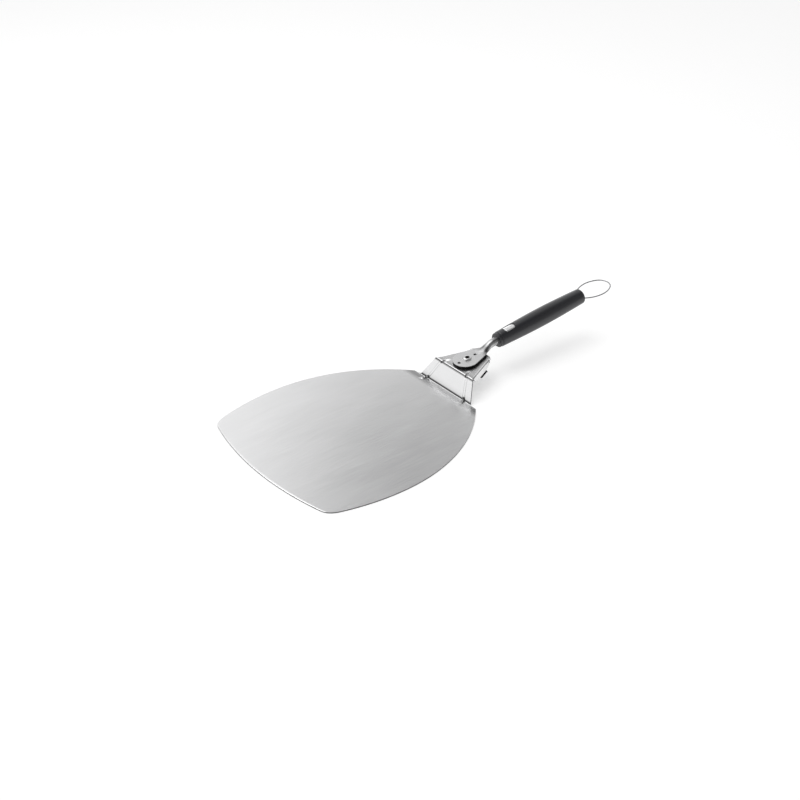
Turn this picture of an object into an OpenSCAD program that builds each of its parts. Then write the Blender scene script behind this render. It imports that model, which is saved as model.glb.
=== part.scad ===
// Pizza peel with a swivel handle.
// Origin: on the blade's underside, midway across its widest line. +Z is up and +Y is towards the handle.

/* [Blade] */
// Width of the blade where it is widest
blade_w = 328; // [270:1:400]
// Length of the flat blade, front edge to the lower bend of the neck
blade_l = 347; // [285:1:420]
// Distance of the widest line behind the front edge
blade_widest = 142; // [120:1:170]
// Thickness of the pressed steel sheet
sheet_t = 1.5; // [1.2:0.1:2]
// Radius of the shallow curve of the front edge
front_r = 505; // [480:5:700]
// Radius of the front part of each side
side_front_r = 340; // [320:5:420]
// How far a side still stands out from the neck where the blade ends
shoulder_w = 12.3; // [8:0.1:18]
// Distance behind the front edge where a rounded front corner meets the side
corner_l = 38; // [30:1:50]
// Width of that corner, from the front edge's end to the side
corner_w = 19.7; // [16:0.1:30]
// How far a front corner's curve reaches out past the front edge's end
corner_reach = 14; // [10:1:20]

/* [Neck] */
// Half width of the neck at the lower bend
neck_low_half = 58.5; // [54:0.5:62]
// Half width of the neck at the upper bend
neck_up_half = 43.4; // [40:0.2:46]
// Height of the deck above the blade at the upper bend
neck_rise = 31; // [28:0.5:38]
// Distance along Y that the ramp takes to climb
ramp_run = 17.5; // [14:0.5:24]
// Upward slope of the deck and handle
deck_tilt = 5.5; // [3:0.25:6.5]
// Length of the deck behind the upper bend
deck_l = 60; // [56:0.5:64]
// Half width of the deck at its rear end
deck_rear_half = 19.5; // [18:0.5:22]
// Radius of the deck's rear corners
deck_corner_r = 8; // [5:0.5:10]
// Inside radius of the two neck bends
bend_r = 2.5; // [1.5:0.25:4]
// Depth of the turned-down flange on each side of the deck
flange_h = 12; // [9:0.5:14]
// Length of that flange along the deck's edge
flange_l = 50; // [40:1:54]
// Radius of the pressed ribs that stiffen the bends
rib_r = 2; // [1.5:0.1:2.5]
// Distance of the lower ribs from the middle
rib_low_x = 41.6; // [36:0.2:48]
// Distance of the upper ribs from the middle
rib_up_x = 27.5; // [24:0.5:32]

/* [Pivot] */
// Distance of the pivot behind the upper bend, along the deck
pivot_s = 26.9; // [25:0.1:29]
// Radius of the rivet's shank
rivet_r = 4; // [3.3:0.1:4.8]
// Radius of the rivet's head
rivet_head_r = 6; // [5.5:0.1:6.5]
// Height of the rivet's head
rivet_head_h = 1.7; // [1.2:0.1:2.5]
// Radius of the hollow in the rivet's head
rivet_hollow_r = 2.5; // [1.5:0.1:2.8]
// Running clearance between the rivet and what turns on it
pivot_gap = 0.08; // [0.04:0.01:0.1]
// Thickness of the plastic glide washer on the deck
glide_t = 3.4; // [2.8:0.1:4]
// Outer radius of the glide washer
glide_r = 13.5; // [10:0.5:13.8]
// Thickness of the steel washer under the rivet's head
top_washer_t = 0.8; // [0.6:0.1:1.2]
// Outer radius of the steel washers
washer_r = 7.2; // [6.8:0.1:8.5]
// Height of the disc spring under the deck
disc_spring_h = 1.1; // [0.9:0.1:1.4]
// Thickness of the washer under the disc spring
low_washer_t = 1.2; // [0.8:0.1:1.5]

/* [Swivel plate] */
// Radius of the plate's round front
plate_r = 20.5; // [17:0.1:25]
// Distance of that round's centre ahead of the pivot
plate_lead = 3; // [2:0.1:4]
// Thickness of the plate's sheet
plate_t = 1.3; // [1:0.1:1.6]
// Distance of the two lock holes from the pivot
lock_s = 16.4; // [16:0.1:16.8]
// Radius of the lock holes
lock_hole_r = 2.4; // [2.2:0.1:2.6]
// Distance behind the pivot where the plate starts to roll into a tube
roll_start = 30; // [26:0.5:34]
// Distance behind the pivot where the tube is round
roll_end = 46; // [42:0.5:50]
// Outer radius of the rolled tube
tube_r = 6.5; // [5.4:0.1:8]

/* [Lock lever] */
// Radius of the lock pin
pin_r = 1.9; // [1.6:0.05:2]
// Thickness of the leaf spring
leaf_t = 1; // [0.8:0.1:1.2]
// Width of the leaf spring
leaf_w = 11; // [9:0.5:11]
// Place of the leaf's flexing line, from the middle
flex_x = -13.35; // [-15:0.1:-12]
// Length of the black finger tab
tab_l = 20; // [14:0.5:22]
// Width of the finger tab
tab_w = 6; // [5:0.5:7]
// Thickness of the finger tab
tab_t = 3.4; // [3:0.1:4]

/* [Grip] */
// Distance from the pivot to the grip's front collar
grip_s = 62; // [58:0.5:66]
// Length of the grip with its collar
grip_l = 185; // [150:1:225]
// Height of the grip's axis above the deck
grip_up = 9.1; // [7.5:0.1:10]
// Radius of the grip at its front
grip_front_r = 12.6; // [12.2:0.1:13]
// Radius of the grip at its rear
grip_rear_r = 12.6; // [12.2:0.1:14]
// How much the grip swells between its ends
grip_swell = 2.2; // [0:0.1:3]
// Length of the front collar
collar_l = 4.5; // [3:0.5:6]
// Length of the badge plate
badge_l = 20; // [18:0.5:28]
// Width of the badge plate
badge_w = 14; // [10:0.5:15]
// Distance from the collar to the badge plate
badge_gap = 12.5; // [6:0.5:14]
// Radius of the steel rod through the grip
tang_r = 4; // [3.5:0.1:4.4]

/* [Hanging loop] */
// Half width of the wire loop
loop_half = 22; // [19:0.5:24]
// Radius of the loop's wire
wire_r = 1; // [0.8:0.05:1.2]
// Depth of the loop's bar inside the grip's end
loop_in = 2.5; // [2.3:0.1:3]
// Half length of the loop's bar, which turns in the plug
loop_bar = 4.5; // [4:0.1:5]
// Radius of the bends that lead the wire out of the plug
lead_r = 5; // [4.5:0.1:6]
// Angle through which those bends turn
lead_turn = 45; // [42:1:50]

/* [Hidden] */
$fn = 64;
eps = 0.01;
fit_gap = 0.05;
run_gap = 0.3;

// Neck: angle of the ramp, and where the deck and the pivot lie
ramp_angle = atan2(neck_rise, ramp_run);
neck_y = blade_l - blade_widest;
up_y = neck_y + ramp_run;
deck_z = sheet_t + neck_rise;
edge_slope = (neck_up_half - deck_rear_half) / deck_l;
flange_turn = atan(edge_slope);

// Swivel plate: heights above the deck, and its tail
plate_low = glide_t + 0.1;
plate_top = plate_low + plate_t;
rim_low = 0.4;
ring_inset = 0.2;
ring_w = 1;
tail_half = tube_r + 0.9;
tail_tip = [tail_half, roll_end + plate_lead];
tail_slope = tan(atan2(tail_tip.y, tail_tip.x) - acos(plate_r / norm(tail_tip)));
hole_r = rivet_r + pivot_gap;
mouth_end = roll_end + 7.5;
tube_sides = 48;

// Lock lever: heights above the deck
leaf_top = -sheet_t - run_gap;
leaf_low = leaf_top - leaf_t;
leaf_end_x = 20;
tab_up = -flange_h - 0.8 - tab_t / 2;
tenon_r = 1.4;

// Grip: places along the handle, from the pivot
grip_end = grip_s + grip_l;
body_s = grip_s + collar_l;
badge_s = body_s + badge_gap;
badge_sink = 1.2;
badge_t = 0.8;
socket_s = grip_s + 10;
spigot_r = tube_r - plate_t - fit_gap;
nut_s = grip_end - 26;
pocket_s = grip_end - 18;
pocket_r = grip_rear_r - 1.6;
tongue_s = grip_end - 8;
tongue_half = loop_bar - 0.5;
loop_s = grip_end - loop_in;

// Points on an arc about c, from angle a to angle b
function arc(c, r, a, b, n = 12) = [for (i = [0:n]) let(t = a + (b - a) * i / n) c + r * [cos(t), sin(t)]];
// The same points on the other side of the object's middle
function mirrored(p) = [for (i = [len(p) - 1:-1:0]) [-p[i].x, p[i].y]];
// Half width of the deck at a distance s behind the pivot
function deck_half(s) = neck_up_half - edge_slope * (s + pivot_s);
// Y of the front edge at a distance x from the middle
function front_y(x) = front_r - sqrt(front_r * front_r - x * x) - blade_widest;
// Radius of the rear part of each side, which passes through the shoulder where the neck starts
shoulder_in = blade_w / 2 - neck_low_half - shoulder_w;
side_rear_r = (shoulder_in * shoulder_in + neck_y * neck_y) / (2 * shoulder_in);
// X of the blade's side at y, ahead of and behind the widest line
function side_x(y) = let(r = y < 0 ? side_front_r : side_rear_r) blade_w / 2 - r + sqrt(r * r - y * y);

// Moves a child from the deck's frame, at the pivot on its top face, to the object's frame
module on_deck() {
    translate([0, up_y, deck_z]) rotate([deck_tilt, 0, 0]) translate([0, pivot_s, 0]) children();
}

// Moves a child that stands along +Z onto the handle's axis
module on_axis() {
    on_deck() translate([0, 0, grip_up]) rotate([-90, 0, 0]) children();
}

// Right half of the blade and neck, seen from above
corner_y = corner_l - blade_widest;
front_half = side_x(corner_y) - corner_w;
rear_corner = [deck_rear_half - deck_corner_r, up_y + (deck_l - deck_corner_r) * cos(deck_tilt)];
function half_outline() = concat(
    [for (i = [0:12]) [front_half * i / 12, front_y(front_half * i / 12)]],
    [for (i = [1:7]) let(u = i / 8, a = [front_half, front_y(front_half)],
        b = [front_half + corner_reach, front_y(front_half) + 3], c = [side_x(corner_y), corner_y])
        a * (1 - u) * (1 - u) + b * 2 * u * (1 - u) + c * u * u],
    [for (i = [0:8]) let(y = corner_y * (1 - i / 8)) [side_x(y), y]],
    [for (i = [1:24]) let(y = (neck_y - 1.5) * i / 24) [side_x(y), y]],
    [[neck_low_half, neck_y + 0.5], [neck_up_half, up_y]],
    [[deck_rear_half + edge_slope * deck_corner_r, rear_corner.y]],
    arc(rear_corner, deck_corner_r, 10, 90, 6));

module plan() {
    polygon(concat(half_outline(), mirrored(half_outline())));
}

// Side view of the sheet: flat blade, ramp and deck joined by round bends, as a band of one thickness
mid_r = bend_r + sheet_t / 2;
low_set = mid_r * tan(ramp_angle / 2);
up_set = mid_r * tan((ramp_angle - deck_tilt) / 2);
ramp_dir = [cos(ramp_angle), sin(ramp_angle)];
deck_dir = [cos(deck_tilt), sin(deck_tilt)];
low_corner = [neck_y, sheet_t / 2];
function left_of(d) = [-d.y, d.x];
up_corner = [up_y, deck_z] - left_of(deck_dir) * sheet_t / 2;
low_c = low_corner - [low_set, 0] + [0, mid_r];
up_c = up_corner + deck_dir * up_set - left_of(deck_dir) * mid_r;
function band(side) = concat(
    [[-blade_widest - 20, sheet_t / 2 + side * sheet_t / 2]],
    arc(low_c, mid_r - side * sheet_t / 2, -90, ramp_angle - 90, 10),
    arc(up_c, mid_r + side * sheet_t / 2, ramp_angle + 90, deck_tilt + 90, 10),
    [up_corner + deck_dir * (deck_l + 10) + left_of(deck_dir) * side * sheet_t / 2]);
function reversed(p) = [for (i = [len(p) - 1:-1:0]) p[i]];

module sheet_side() {
    polygon(concat(band(-1), reversed(band(1))));
}

// Rounded bar between two points, for the pressed ribs
module bar(a, b, r) {
    d = b - a;
    translate(a) rotate([0, acos(d.z / norm(d)), atan2(d.y, d.x)]) {
        cylinder(r = r, h = norm(d), $fn = 24);
        sphere(r = r, $fn = 24);
        translate([0, 0, norm(d)]) sphere(r = r, $fn = 24);
    }
}

// Flange turned down along one side of the deck
module flange() {
    on_deck() translate([deck_half(-pivot_s + 3), -pivot_s + 3, 0]) rotate([0, 0, 90 + flange_turn])
        rotate([90, 0, 0]) mirror([0, 0, 1]) linear_extrude(sheet_t)
            polygon([[0, -eps], [flange_l, -eps], [flange_l, -flange_h * 0.45], [flange_l - 8, -flange_h * 0.85],
                [flange_l - 14, -flange_h], [12, -flange_h], [5, -flange_h * 0.8], [0, -flange_h * 0.35]]);
}

// Rib across the lower bend: from the blade it leans in and climbs the foot of the ramp
rib_reach = 12;
rib_lean = 7.4;
rib_climb = 6;
module ribs() {
    bar([rib_low_x + rib_lean, neck_y - rib_reach, sheet_t * 0.2],
        [rib_low_x - 2, neck_y + 5, sheet_t + rib_climb], rib_r);
}

// Groove across the upper bend: from the deck it leans out and runs over the top of the ramp
groove_reach = 12;
groove_lift = 1.05;
groove_dip = 1.5;
module groove() {
    bar([rib_up_x - 5, up_y + groove_reach, deck_z + groove_reach * tan(deck_tilt) + groove_lift],
        [rib_up_x + 1, up_y - 3, deck_z - groove_dip], rib_r);
}

// One-piece pressed sheet: blade, ramp, deck and flanges
module blade() color("silver") difference() {
    union() {
        intersection() {
            translate([-blade_w, 0, 0]) rotate([90, 0, 90]) linear_extrude(2 * blade_w) sheet_side();
            translate([0, 0, -5]) linear_extrude(deck_z + 30) plan();
        }
        for (m = [0, 1]) mirror([m, 0, 0]) {
            flange();
            intersection() {
                ribs();
                linear_extrude(deck_z) plan();
            }
        }
    }
    for (m = [0, 1]) mirror([m, 0, 0]) groove();
    on_deck() translate([0, 0, -10]) cylinder(r = rivet_r + fit_gap, h = 20);
    on_deck() for (x = [-0.2, 0.8]) translate([x, lock_s, -5]) cylinder(r = pin_r + 0.7, h = 10);
}

// Plastic disc that carries the swivel plate above the deck
module glide_washer() color("ivory") on_deck() difference() {
    cylinder(r = glide_r, h = glide_t);
    translate([0, 0, -1]) cylinder(r = rivet_r + fit_gap, h = glide_t + 2);
}

// Hollow rivet with a rounded head and a swaged tail
module pivot_rivet() color("gainsboro") on_deck() {
    head = plate_top + fit_gap + top_washer_t;
    tail = -sheet_t - disc_spring_h - low_washer_t;
    rotate_extrude() polygon(concat(
        [[rivet_hollow_r, head + rivet_head_h * 0.7], [rivet_hollow_r, tail - 1.2], [rivet_r + 2, tail - 1.2],
            [rivet_r + 2.2, tail - 0.6], [rivet_r + 2, tail], [rivet_r, tail], [rivet_r, head], [rivet_head_r, head]],
        [for (i = [0:6]) let(u = i / 6) [rivet_head_r - (rivet_head_r - rivet_hollow_r - 1) * u * u,
            head + rivet_head_h * (0.35 + 0.65 * sin(90 * u))]]));
}

// Flat steel washer under the rivet's head
module top_washer() color("silver") on_deck() translate([0, 0, plate_top + fit_gap]) difference() {
    cylinder(r = washer_r, h = top_washer_t);
    translate([0, 0, -1]) cylinder(r = rivet_r + fit_gap, h = top_washer_t + 2);
}

// Coned spring disc that keeps the joint tight
module disc_spring() color("darkgray") on_deck() translate([0, 0, -sheet_t]) rotate_extrude()
    polygon([[rivet_r + fit_gap, -disc_spring_h + 0.6], [rivet_r + fit_gap, -disc_spring_h],
        [rivet_r + 1.2, -disc_spring_h], [washer_r + 0.6, -0.6], [washer_r + 0.6, 0], [washer_r - 0.6, 0]]);

// Washer between the disc spring and the rivet's tail
module low_washer() color("silver") on_deck()
    translate([0, 0, -sheet_t - disc_spring_h - low_washer_t]) difference() {
        cylinder(r = washer_r, h = low_washer_t);
        translate([0, 0, -1]) cylinder(r = rivet_r + fit_gap, h = low_washer_t + 2);
    }

// Leaf spring's clamped end, flat against the deck's underside
foot_x = -24;
foot_s = lock_s - 1;
module leaf_foot() color("slategray") on_deck() difference() {
    translate([foot_x + 1.5, foot_s - leaf_w / 2, -sheet_t - leaf_t])
        cube([flex_x - 0.15 - foot_x - 1.5, leaf_w, leaf_t]);
    for (s = [-1, 1]) translate([foot_x + 5, foot_s + s * 2.8, -sheet_t - leaf_t - 1]) cylinder(r = 1.25, h = 5);
}

// Two small rivets that clamp the leaf's end
module leaf_rivets() color("gainsboro") on_deck() for (s = [-1, 1])
    translate([foot_x + 5, foot_s + s * 2.8, -sheet_t - leaf_t]) rotate_extrude()
        polygon([[0, -0.9], [1.4, -0.9], [2.2, -0.4], [2.2, 0], [1.2, 0], [1.2, leaf_t], [0, leaf_t]]);

// Free arm of the leaf spring, with its leg down to the finger tab
module lock_leaf() color("slategray") on_deck() difference() {
    union() {
        translate([flex_x + 0.15, foot_s - leaf_w / 2, leaf_low]) cube([leaf_end_x - flex_x - 0.15, leaf_w, leaf_t]);
        translate([leaf_end_x - leaf_t, foot_s - leaf_w / 2, tab_up - leaf_t / 2])
            cube([leaf_t, leaf_w, leaf_low - tab_up + leaf_t]);
        leaf_blade_end();
    }
    translate([0, lock_s, leaf_low - 1]) cylinder(r = tenon_r + fit_gap, h = leaf_t + 2);
}

// Outer end of the leaf, which the finger tab is moulded on
module leaf_blade_end(grow = 0) {
    translate([leaf_end_x - leaf_t - grow, foot_s - leaf_w / 2 - grow, tab_up - leaf_t / 2 - grow])
        cube([deck_half(tab_s) - leaf_end_x + leaf_t - 1 + grow, 6.5 + 2 * grow, leaf_t + 2 * grow]);
}

// Place of the finger tab: under the right flange and parallel to it
tab_s = 7.5;
module tab_place() {
    translate([deck_half(tab_s) - tab_w * 0.35, tab_s, tab_up]) rotate([0, 0, flange_turn]) children();
}

module finger_tab() color("#202020") on_deck() difference() {
    tab_place() hull() for (y = [-1, 1], x = [-1, 1])
        translate([x * (tab_w - tab_t) / 2, y * (tab_l - tab_t) / 2, 0]) sphere(d = tab_t, $fn = 24);
    leaf_blade_end(fit_gap);
}

// Round-ended pin that locks the swivel plate
module lock_pin() color("gainsboro") on_deck() translate([0, lock_s, 0]) {
    pin_top = plate_low - 0.6;
    rotate_extrude() polygon(concat(
        [[0, leaf_low - 0.8], [2.2, leaf_low - 0.8], [2.4, leaf_low - 0.4], [2.4, leaf_low], [tenon_r, leaf_low],
            [tenon_r, leaf_top], [pin_r, leaf_top]],
        [for (i = [0:6]) let(a = 90 * i / 6) [pin_r * cos(a), pin_top - pin_r * 0.5 + pin_r * 0.5 * sin(a)]]));
}

// Teardrop outline of the swivel plate, drawn in by a wall's thickness
function tear(inset) = let(
    r = plate_r - inset, t = [tail_half - inset, roll_end + plate_lead],
    a = atan2(t.y, t.x) - acos(r / norm(t)), c = [0, -plate_lead])
    concat(arc(c, r, -90, a, 24), [t + c]);

module tear_shape(inset, tail) {
    half = concat(tear(inset), [[tail_half - inset, tail]]);
    polygon(concat(half, mirrored(half)));
}

// Pressed plate, whose tail turns its sides down and rolls into a tube
module swivel_plate() color("silver") on_deck() difference() {
    union() {
        translate([0, 0, plate_low]) linear_extrude(plate_t) tear_shape(0, roll_end);
        roll(tube_r, 0, 0);
        tube(tube_r, roll_end, socket_s - 0.5);
    }
    roll(tube_r - plate_t, plate_t, 1);
    tube(tube_r - plate_t, roll_end - 2, socket_s + 10);
    translate([-tail_half * 2, -30, rim_low - 20]) cube([tail_half * 4, mouth_end + 30, 20]);
    cylinder(r = hole_r, h = 20);
    for (s = [-1, 1]) translate([0, s * lock_s, 0]) cylinder(r = lock_hole_r, h = 20);
}

// Black ring under the plate's edge, which closes the gap above the deck
module rim_ring() color("#202020") on_deck() translate([0, 0, rim_low]) linear_extrude(plate_low - rim_low)
    intersection() {
        difference() {
            tear_shape(ring_inset, roll_end);
            tear_shape(ring_inset + ring_w, roll_end + 1);
        }
        translate([-2 * plate_r, -2 * plate_r]) square([4 * plate_r, 2 * plate_r + roll_start - run_gap]);
    }

// Many-sided bar along the handle's axis, from s0 to s1
module tube(r, s0, s1) {
    translate([0, s0, grip_up]) rotate([-90, 0, 0]) linear_extrude(s1 - s0)
        polygon([for (i = [0:tube_sides - 1]) r * [cos(360 * i / tube_sides), sin(360 * i / tube_sides)]]);
}

// Arched transition from the flat plate to the round tube, a little wider than the plate where it starts
module roll(r, inset, over) {
    half = tail_half - inset + (roll_end - roll_start) * tail_slope + fit_gap;
    hull() {
        translate([-half, roll_start, rim_low - over]) cube([2 * half, eps, plate_top - inset - rim_low + over]);
        tube(r, roll_end, roll_end + eps + over);
        translate([-r, roll_end, rim_low - over]) cube([2 * r, eps + over, grip_up - rim_low]);
    }
}

// Steel rod through the grip: spigot in the tube, long shank, threaded end
module handle_tang() color("darkgray") on_axis() rotate_extrude() polygon([
    [0, mouth_end + 0.2], [spigot_r - 0.5, mouth_end + 0.2], [spigot_r, mouth_end + 0.7], [spigot_r, socket_s + 4],
    [tang_r, socket_s + 8], [tang_r, nut_s - 3], [tang_r - 1, nut_s - 2.5], [tang_r - 1, nut_s + 7.5], [0, nut_s + 8]]);

// Plastic ring where the tube enters the grip
module grip_collar() color("#181818") on_axis() translate([0, 0, grip_s]) rotate_extrude() polygon([
    [tube_r + fit_gap, 0], [grip_front_r - 1.6, 0], [grip_front_r - 0.7, 0.9], [grip_front_r - 0.7, collar_l - 0.4],
    [grip_front_r - 1.4, collar_l], [tube_r + fit_gap, collar_l]]);

// Outer radius of the grip at a distance s behind the pivot
function grip_radius(s) = let(u = (s - body_s) / (grip_end - body_s))
    grip_front_r + (grip_rear_r - grip_front_r) * u + grip_swell * sin(180 * u);

// Moulded grip with its bore, nut seat, end pocket and badge recess
edge_r = 1.3;
module grip() color("#181818") difference() {
    on_axis() rotate_extrude() polygon(concat(
        [[tang_r + fit_gap, body_s], [grip_front_r - 1.2, body_s], [grip_front_r, body_s + 1.2]],
        [for (i = [1:16]) let(s = body_s + 1.2 + (grip_end - edge_r - body_s - 1.2) * i / 16) [grip_radius(s), s]],
        arc([grip_rear_r - edge_r, grip_end - edge_r], edge_r, 15, 90, 5),
        [[tang_r + fit_gap, grip_end]]));
    on_axis() translate([0, 0, body_s - 1]) cylinder(r = tube_r + fit_gap, h = socket_s - body_s + 1);
    on_axis() translate([0, 0, body_s]) cylinder(r = spigot_r + fit_gap, h = socket_s + 8.2 - body_s);
    on_axis() translate([0, 0, nut_s - 2]) cylinder(r = pocket_r - 2, h = 40);
    on_axis() translate([0, 0, pocket_s]) cylinder(r = pocket_r, h = 40);
    on_deck() translate([0, badge_s + badge_l / 2, grip_up + badge_top() - badge_sink]) badge_outline(0.25, 8);
}

// Height of the badge's face above the grip's axis, just under the grip's crown
function badge_top() = grip_front_r + 0.15;

module badge_outline(grow, h) {
    linear_extrude(h) polygon(concat(
        [[badge_w / 2 + grow, -badge_l / 2 - grow]],
        arc([0, badge_l / 2 - badge_w / 2], badge_w / 2 + grow, 0, 180, 16),
        [[-badge_w / 2 - grow, -badge_l / 2 - grow]]));
}

// Blank metal plate set in the top of the grip
module badge_plate() color("gainsboro") on_deck()
    translate([0, badge_s + badge_l / 2, grip_up + badge_top() - badge_sink]) badge_outline(0, badge_t);

// Washer and nut that hold the grip on the rod
module tang_washer() color("silver") on_axis() translate([0, 0, nut_s - 2]) difference() {
    cylinder(r = pocket_r - 2.3, h = 1.2);
    translate([0, 0, -1]) cylinder(r = tang_r - 1 + fit_gap, h = 4);
}

module tang_nut() color("silver") on_axis() translate([0, 0, nut_s - 0.8]) difference() {
    cylinder(r = 6, h = 5, $fn = 6);
    translate([0, 0, -1]) cylinder(r = tang_r - 1 + fit_gap, h = 8);
}

// Plug pressed into the grip's end, with the tongue that carries the loop
module end_plug() color("#202020") difference() {
    on_axis() {
        translate([0, 0, pocket_s]) cylinder(r = pocket_r - fit_gap, h = tongue_s - pocket_s);
        intersection() {
            translate([0, 0, tongue_s - eps]) cylinder(r = pocket_r - fit_gap, h = grip_end - 0.5 - tongue_s);
            translate([-tongue_half, -20, tongue_s - 1]) cube([2 * tongue_half, 40, 20]);
        }
    }
    on_axis() translate([0, 0, pocket_s - 1]) cylinder(r = tang_r + 0.5, h = 3.5);
    on_deck() translate([-20, loop_s, grip_up]) rotate([0, 90, 0]) cylinder(r = wire_r + fit_gap, h = 40);
}

// Wire loop as a chain of arcs: each is a radius and a turn, starting at the end of the cross bar
flank_r = (loop_half - loop_bar - lead_r * sin(lead_turn)) / (1 - sin(lead_turn));
tip_turn = 35;
tip_r = loop_half * 0.814;
back_r = (loop_half - tip_r * cos(tip_turn)) / (1 - cos(tip_turn));
loop_arcs = [[lead_r, lead_turn], [flank_r, 90 - lead_turn], [back_r, tip_turn], [tip_r, 90 - tip_turn]];

// Points and headings along one half of the wire, from the bar's end to the loop's tip
function chain(i, p, heading) = i == len(loop_arcs) ? [] : let(
    r = loop_arcs[i][0], turn = loop_arcs[i][1], c = p + r * [-sin(heading), cos(heading)],
    steps = ceil(turn / 8))
    concat([for (k = [0:steps - 1]) let(h = heading + turn * k / steps) concat(c + r * [sin(h), -cos(h)], [h])],
        chain(i + 1, c + r * [sin(heading + turn), -cos(heading + turn)], heading + turn));
half_wire = chain(0, [loop_bar, 0], 0);
wire_sides = 12;
function wire_ring(q) = [for (k = [0:wire_sides - 1]) let(a = 360 * k / wire_sides)
    [q.x + wire_r * cos(a) * sin(q[2]), q.y - wire_r * cos(a) * cos(q[2]), wire_r * sin(a)]];

// Wire closed on itself: the cross bar and, from its two ends, the halves of the loop
module wire_sweep() {
    back = [for (i = [len(half_wire) - 1:-1:0]) [-half_wire[i].x, half_wire[i].y, 360 - half_wire[i][2]]];
    path = concat(half_wire, [[0, loop_length(), 180]], back);
    rings = len(path);
    points = [for (q = path) each wire_ring(q)];
    skin = [for (i = [0:rings - 1], k = [0:wire_sides - 1]) let(n = (k + 1) % wire_sides, j = (i + 1) % rings)
        [i * wire_sides + k, i * wire_sides + n, j * wire_sides + n, j * wire_sides + k]];
    polyhedron(points, skin);
}
function loop_length() = lead_r * (1 - cos(lead_turn)) + flank_r * cos(lead_turn) + back_r * sin(tip_turn)
    + tip_r * (1 - sin(tip_turn));

module hang_loop() color("silver") on_deck() translate([0, loop_s, grip_up]) wire_sweep();

blade();
glide_washer();
pivot_rivet();
top_washer();
disc_spring();
low_washer();
leaf_foot();
leaf_rivets();
lock_leaf();
lock_pin();
finger_tab();
swivel_plate();
rim_ring();
handle_tang();
grip_collar();
grip();
badge_plate();
tang_washer();
tang_nut();
end_plug();
hang_loop();
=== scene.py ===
"""Pizza peel with a swivel handle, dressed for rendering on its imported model.

The pressed sheet, the swivel plate, the grip, its blank badge and the wire loop are made here as fine
surfaces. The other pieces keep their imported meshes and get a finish. Sizes are in millimetres unless a name
says otherwise.
"""

import logging
import math
from dataclasses import dataclass, field
from enum import Enum
from typing import Any, Mapping, Sequence

import bmesh
import bpy
import numpy as np
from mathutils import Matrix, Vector


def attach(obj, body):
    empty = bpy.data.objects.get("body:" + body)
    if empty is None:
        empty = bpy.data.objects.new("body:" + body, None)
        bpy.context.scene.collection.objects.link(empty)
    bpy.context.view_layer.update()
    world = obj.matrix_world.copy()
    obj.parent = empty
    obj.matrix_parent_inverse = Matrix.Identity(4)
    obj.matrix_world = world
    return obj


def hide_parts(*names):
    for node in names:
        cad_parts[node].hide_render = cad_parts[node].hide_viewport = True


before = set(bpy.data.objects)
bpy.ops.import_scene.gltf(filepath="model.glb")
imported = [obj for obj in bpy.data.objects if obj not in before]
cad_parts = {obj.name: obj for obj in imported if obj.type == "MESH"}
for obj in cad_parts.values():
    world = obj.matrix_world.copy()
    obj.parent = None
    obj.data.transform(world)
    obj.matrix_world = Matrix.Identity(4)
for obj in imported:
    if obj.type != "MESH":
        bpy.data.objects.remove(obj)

MM = 0.001
LOG = logging.getLogger("peel")
Triple = tuple[float, float, float]


class Body(Enum):
    """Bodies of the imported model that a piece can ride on."""

    BLADE = "blade"
    LEVER = "lock_lever"
    HANDLE = "handle"
    LOOP = "hang_loop"


# ---------------------------------------------------------------- numbers and meshes


def ease(x: np.ndarray | float) -> np.ndarray:
    """Rise smoothly from 0 to 1: three x squared less two x cubed, with x held between 0 and 1."""
    x = np.clip(x, 0.0, 1.0)
    return x * x * (3.0 - 2.0 * x)


def surface(name: str, points: np.ndarray, wrap: bool = False, loop: bool = False) -> bpy.types.Object:
    """Make an object from a grid of points, with one four-sided face between each four neighbours.

    Args:
        name: Name of the new piece.
        points: Rows by columns by three, in millimetres.
        wrap: Whether the last column joins the first.
        loop: Whether the last row joins the first.

    Returns:
        The new object, with coincident points merged.
    """
    rows, columns = points.shape[:2]
    index = np.arange(rows * columns).reshape(rows, columns)
    if wrap:
        index = np.concatenate([index, index[:, :1]], axis=1)
    if loop:
        index = np.concatenate([index, index[:1]], axis=0)
    quads = np.stack([index[:-1, :-1], index[:-1, 1:], index[1:, 1:], index[1:, :-1]], axis=-1)
    mesh = bpy.data.meshes.new(name)
    mesh.from_pydata((points.reshape(-1, 3) * MM).tolist(), [], quads.reshape(-1, 4).tolist())
    piece = bpy.data.objects.new(name, mesh)
    bpy.context.scene.collection.objects.link(piece)
    merge(piece, closed=wrap and loop)
    return piece


def merge(piece: bpy.types.Object, closed: bool) -> None:
    """Merge coincident points, drop faces without area and, on a closed shell, turn every face outwards.

    Args:
        piece: Object whose mesh is cleaned.
        closed: Whether the mesh encloses a volume.
    """
    work = bmesh.new()
    work.from_mesh(piece.data)
    bmesh.ops.remove_doubles(work, verts=work.verts, dist=2e-6)
    bmesh.ops.dissolve_degenerate(work, edges=work.edges, dist=1e-7)
    if closed:
        bmesh.ops.recalc_face_normals(work, faces=work.faces)
    work.to_mesh(piece.data)
    work.free()


def settle(piece: bpy.types.Object, sharp_deg: float = 40.0) -> None:
    """Apply a piece's modifiers and shade it smooth, apart from its sharp edges.

    Args:
        piece: Object to finish.
        sharp_deg: Angle between two faces from which their edge stays sharp.
    """
    graph = bpy.context.evaluated_depsgraph_get()
    mesh = bpy.data.meshes.new_from_object(piece.evaluated_get(graph))
    piece.modifiers.clear()
    piece.data = mesh
    mesh.name = piece.name
    mesh.shade_smooth()
    mesh.set_sharp_from_angle(angle=math.radians(sharp_deg))


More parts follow.
